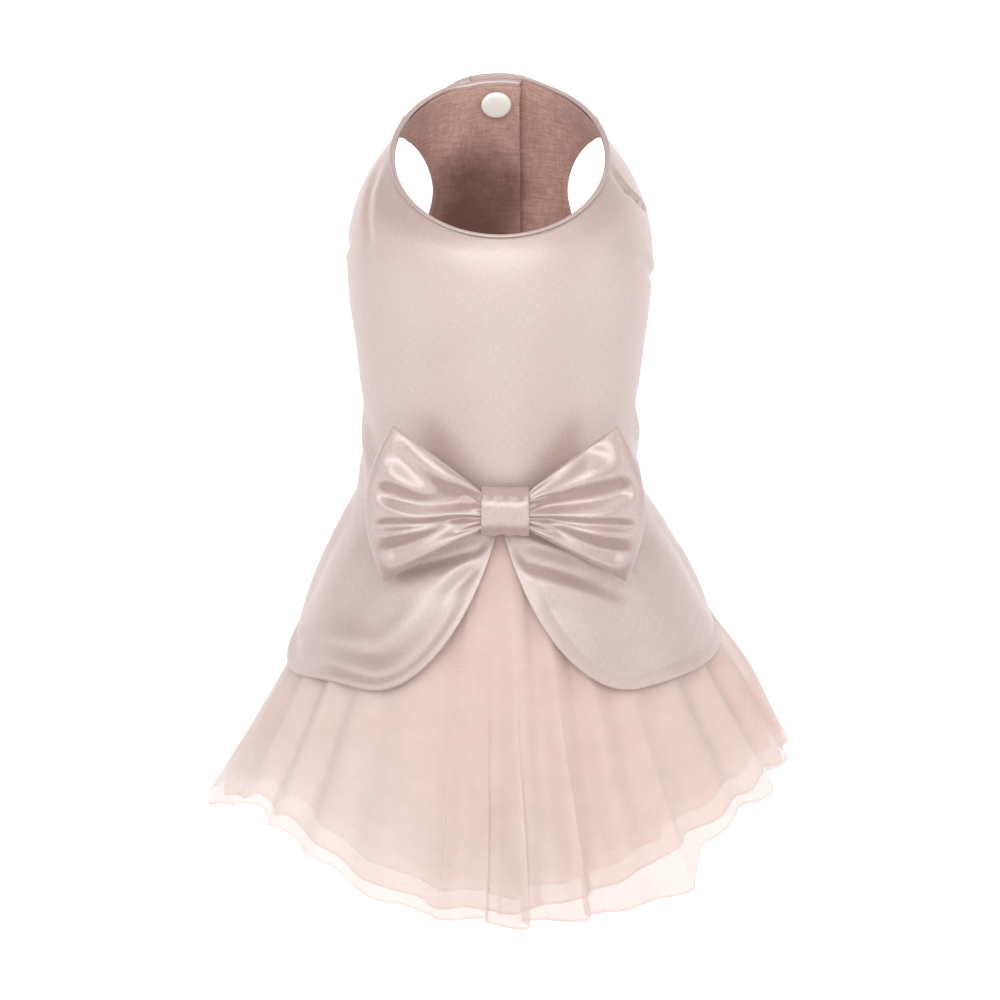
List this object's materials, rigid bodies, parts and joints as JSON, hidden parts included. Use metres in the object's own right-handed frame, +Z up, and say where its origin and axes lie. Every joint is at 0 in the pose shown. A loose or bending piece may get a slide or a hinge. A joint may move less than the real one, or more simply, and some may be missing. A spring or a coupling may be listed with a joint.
{
  "type": "dog dress",
  "caption": "Small dog's sleeveless satin party dress, filled out as worn: lined bodice with a snapped chest, bow at the waist, petal peplum and gathered tulle skirt.",
  "frame": {"origin": "the middle of the neck opening, where the dog's neck carries the dress", "axes": "+Z up along the trunk towards the neck, -Y towards the side with the bow that lies over the dog's back, +Y towards the chest, +X to the right seen from the bow's side"},
  "size_m": [0.2388, 0.154, 0.3157],
  "materials": {
    "satin": "soft blush satin",
    "lining": "slubbed dusty rose cotton",
    "tulle": "fine soft pink net",
    "snap": "glossy off-white moulded plastic"
  },
  "bodies": {
    "root": {"back_panel": "satin", "back_lining": "lining", "chest_panel_left": "satin", "chest_lining_left": "lining", "chest_panel_right": "satin", "chest_lining_right": "lining", "snap_inside_1": "snap", "snap_outside_1": "snap", "snap_inside_2": "snap", "snap_outside_2": "snap", "snap_inside_3": "snap", "snap_outside_3": "snap", "peplum_left": "satin", "peplum_right": "satin", "tulle_outer": "tulle", "tulle_middle": "tulle", "tulle_inner": "tulle", "bow_loops": "satin", "bow_knot": "satin"}
  },
  "joints": []
}
